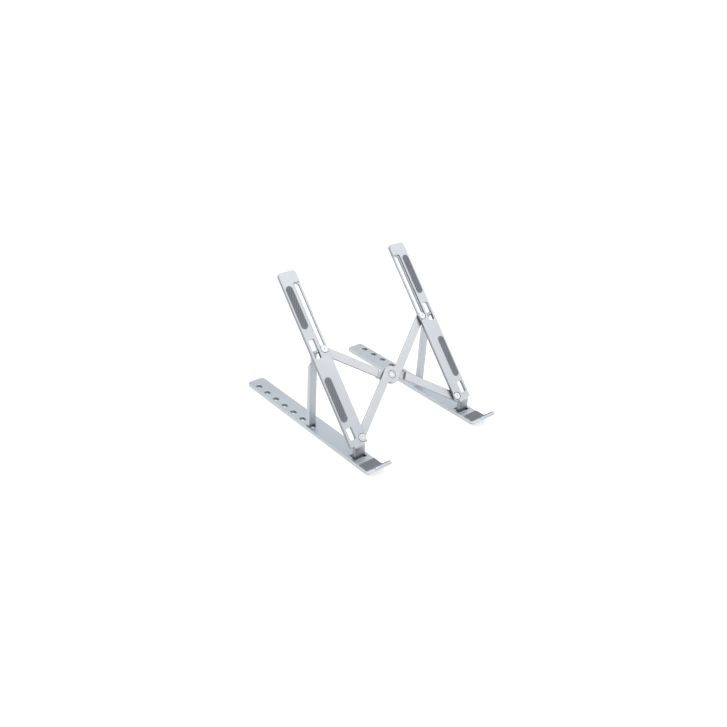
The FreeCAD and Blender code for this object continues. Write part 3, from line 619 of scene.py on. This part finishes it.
def pad_thickness(node, bend, flat_z, bend_y):
    """The strip's thickness, measured square to the lip from the bend's centre line."""
    square = Vector((0, math.sin(bend), math.cos(bend)))
    centre = Vector((0, bend_y, flat_z + HOOK_BEND_RADIUS))
    lip_side = [v.co for v in frame["nodes"][node].data.vertices
                if v.co.y < bend_y - HOOK_BEND_RADIUS * math.sin(bend) - LIP_MARGIN]
    heights = [(co - centre).dot(square) for co in lip_side]
    return max(heights) - min(heights)


# Studio

def camera():
    """The scene's camera, placed by its angles and its distance from the target."""
    azimuth = math.radians(CAMERA_AZIMUTH)
    elevation = math.radians(CAMERA_ELEVATION)
    roll = math.radians(CAMERA_ROLL)
    back = Vector((math.sin(azimuth) * math.cos(elevation), -math.cos(azimuth) * math.cos(elevation),
                   math.sin(elevation)))
    right = Vector((math.cos(azimuth), math.sin(azimuth), 0.0))
    up = back.cross(right)
    turned_right = right * math.cos(roll) + up * math.sin(roll)
    turned_up = up * math.cos(roll) - right * math.sin(roll)
    data = bpy.data.cameras.new("camera")
    data.lens = CAMERA_LENS
    data.sensor_width = CAMERA_SENSOR
    data.clip_end = 100.0
    obj = bpy.data.objects.new("camera", data)
    bpy.context.scene.collection.objects.link(obj)
    turn = Matrix((turned_right, turned_up, back)).transposed().to_4x4()
    obj.matrix_world = Matrix.Translation(CAMERA_TARGET + back * CAMERA_DISTANCE) @ turn
    bpy.context.scene.camera = obj


def area_light(name, place, size, power):
    """A soft light, turned towards the stand."""
    data = bpy.data.lights.new(name, "AREA")
    data.shape = "RECTANGLE"
    data.size, data.size_y = size
    data.energy = power
    obj = bpy.data.objects.new(name, data)
    bpy.context.scene.collection.objects.link(obj)
    obj.location = place
    towards = Vector(LIGHT_TARGET) - Vector(place)
    obj.rotation_euler = towards.to_track_quat("-Z", "Y").to_euler()


def floor(material):
    """A flat floor that reaches to the horizon."""
    size = FLOOR_HALF_SIZE
    corners = [(-size, -size, 0), (size, -size, 0), (size, size, 0), (-size, size, 0)]
    mesh = bpy.data.meshes.new("floor")
    mesh.from_pydata(corners, [], [(0, 1, 2, 3)])
    mesh.materials.append(material)
    obj = bpy.data.objects.new("floor", mesh)
    bpy.context.scene.collection.objects.link(obj)


def studio_world():
    """A soft white surround: white at the horizon, dimmer above it, and brightest overhead."""
    world = bpy.data.worlds.new("studio")
    bpy.context.scene.world = world
    world.use_nodes = True
    tree = world.node_tree
    tree.nodes.clear()
    output = tree.nodes.new("ShaderNodeOutputWorld")
    background = tree.nodes.new("ShaderNodeBackground")
    direction = tree.nodes.new("ShaderNodeTexCoord").outputs["Generated"]
    split = tree.nodes.new("ShaderNodeSeparateXYZ")
    tree.links.new(direction, split.inputs["Vector"])
    height = ranged(tree, split.outputs["Z"], *SKY_HEIGHT_FROM_TO, SKY_DIM, SKY_OVERHEAD)
    side = ranged(tree, split.outputs["X"], *SKY_SIDE_FROM_TO, 0.0, SKY_SIDE_GAIN)
    horizon = ranged(tree, split.outputs["Z"], *SKY_HORIZON_FROM_TO, SKY_HORIZON_GAIN, 0.0)
    strength = combined(tree, "ADD", combined(tree, "ADD", height, side), horizon)
    background.inputs["Color"].default_value = SKY_TINT
    tree.links.new(strength, background.inputs["Strength"])
    tree.links.new(background.outputs["Background"], output.inputs["Surface"])


def studio():
    """Lights, surround and floor, shown with plain colour management."""
    area_light("key", **KEY_LIGHT)
    area_light("fill", **FILL_LIGHT)
    area_light("top", **TOP_LIGHT)
    studio_world()
    floor(floor_material("light_table_top", FLOOR_WHITE))
    scene = bpy.context.scene
    scene.view_settings.view_transform = "Standard"
    scene.view_settings.look = "None"
    scene.view_settings.exposure = 0.0
    scene.view_settings.gamma = 1.0


# Build

camera()

UPRIGHT = Vector((0.0, 0.0, 1.0))
REARWARD = Vector((0.0, 1.0, 0.0))
MATERIALS = {
    "base_aluminium": anodised_aluminium(
        "base_anodised", BASE_SILVER, roughness=0.40, grain_along=(900.0, 14.0, 900.0),
        face=UPRIGHT, painted_side_tone=1.05, edge_shade_tone=0.88, turned=0.25, facing=0.45),
    "arm_aluminium": anodised_aluminium(
        "arm_anodised", ARM_SILVER, roughness=0.38, grain_along=(900.0, 60.0, 60.0),
        face=ARM_NORMAL, painted_side_tone=0.48, edge_shade_tone=0.58, turned=0.66, facing=1.00),
    "link_aluminium": anodised_aluminium(
        "link_anodised", LINK_SILVER, roughness=0.36, grain_along=(160.0, 160.0, 160.0),
        face=ARM_NORMAL, painted_side_tone=0.55, edge_shade_tone=0.62, turned=0.50, facing=0.90),
    "strut_aluminium": anodised_aluminium(
        "strut_anodised", STRUT_SHADED_SILVER, roughness=0.42, grain_along=(900.0, 900.0, 14.0),
        face=REARWARD, painted_side_tone=1.02, edge_shade_tone=0.95, turned=0.25, facing=0.45),
    "rivet_steel": plated_metal("rivet_nickel", NICKEL, roughness=0.24),
    "pin_steel": plated_metal("pin_ground", PIN_STEEL, roughness=0.30),
    "grey_silicone": silicone("grey_silicone_skin", SILICONE_GREY),
    "white_nylon": nylon("natural_nylon", NYLON_WHITE),
}

SLOT_OF = {part["node"]: part["material_slot"] for part in frame["record"]["subparts"]}
for node_name, node_object in frame["nodes"].items():
    for node_slot in node_object.material_slots:
        node_slot.material = MATERIALS[SLOT_OF[node_name]]

hub_satin = hub_metal("hub_satin", HUB_SATIN, roughness=0.34, centre=hub_head_centre(),
                      polish_and_highlight_radius=HUB_DIMPLE_RADIUS)
for node_slot in frame["nodes"]["hub_rivet"].material_slots:
    node_slot.material = hub_satin

rubber = MATERIALS["grey_silicone"]
for side_name in SIDES:
    arm_pad("lower", side_name, rubber)
    arm_pad("upper", side_name, rubber)
    hook_lining(side_name, rubber)
    ground_pad("front", side_name, FRONT_FOOT_CORNER, rubber)
    ground_pad("rear", side_name, FULL_ROUND, rubber)

studio()
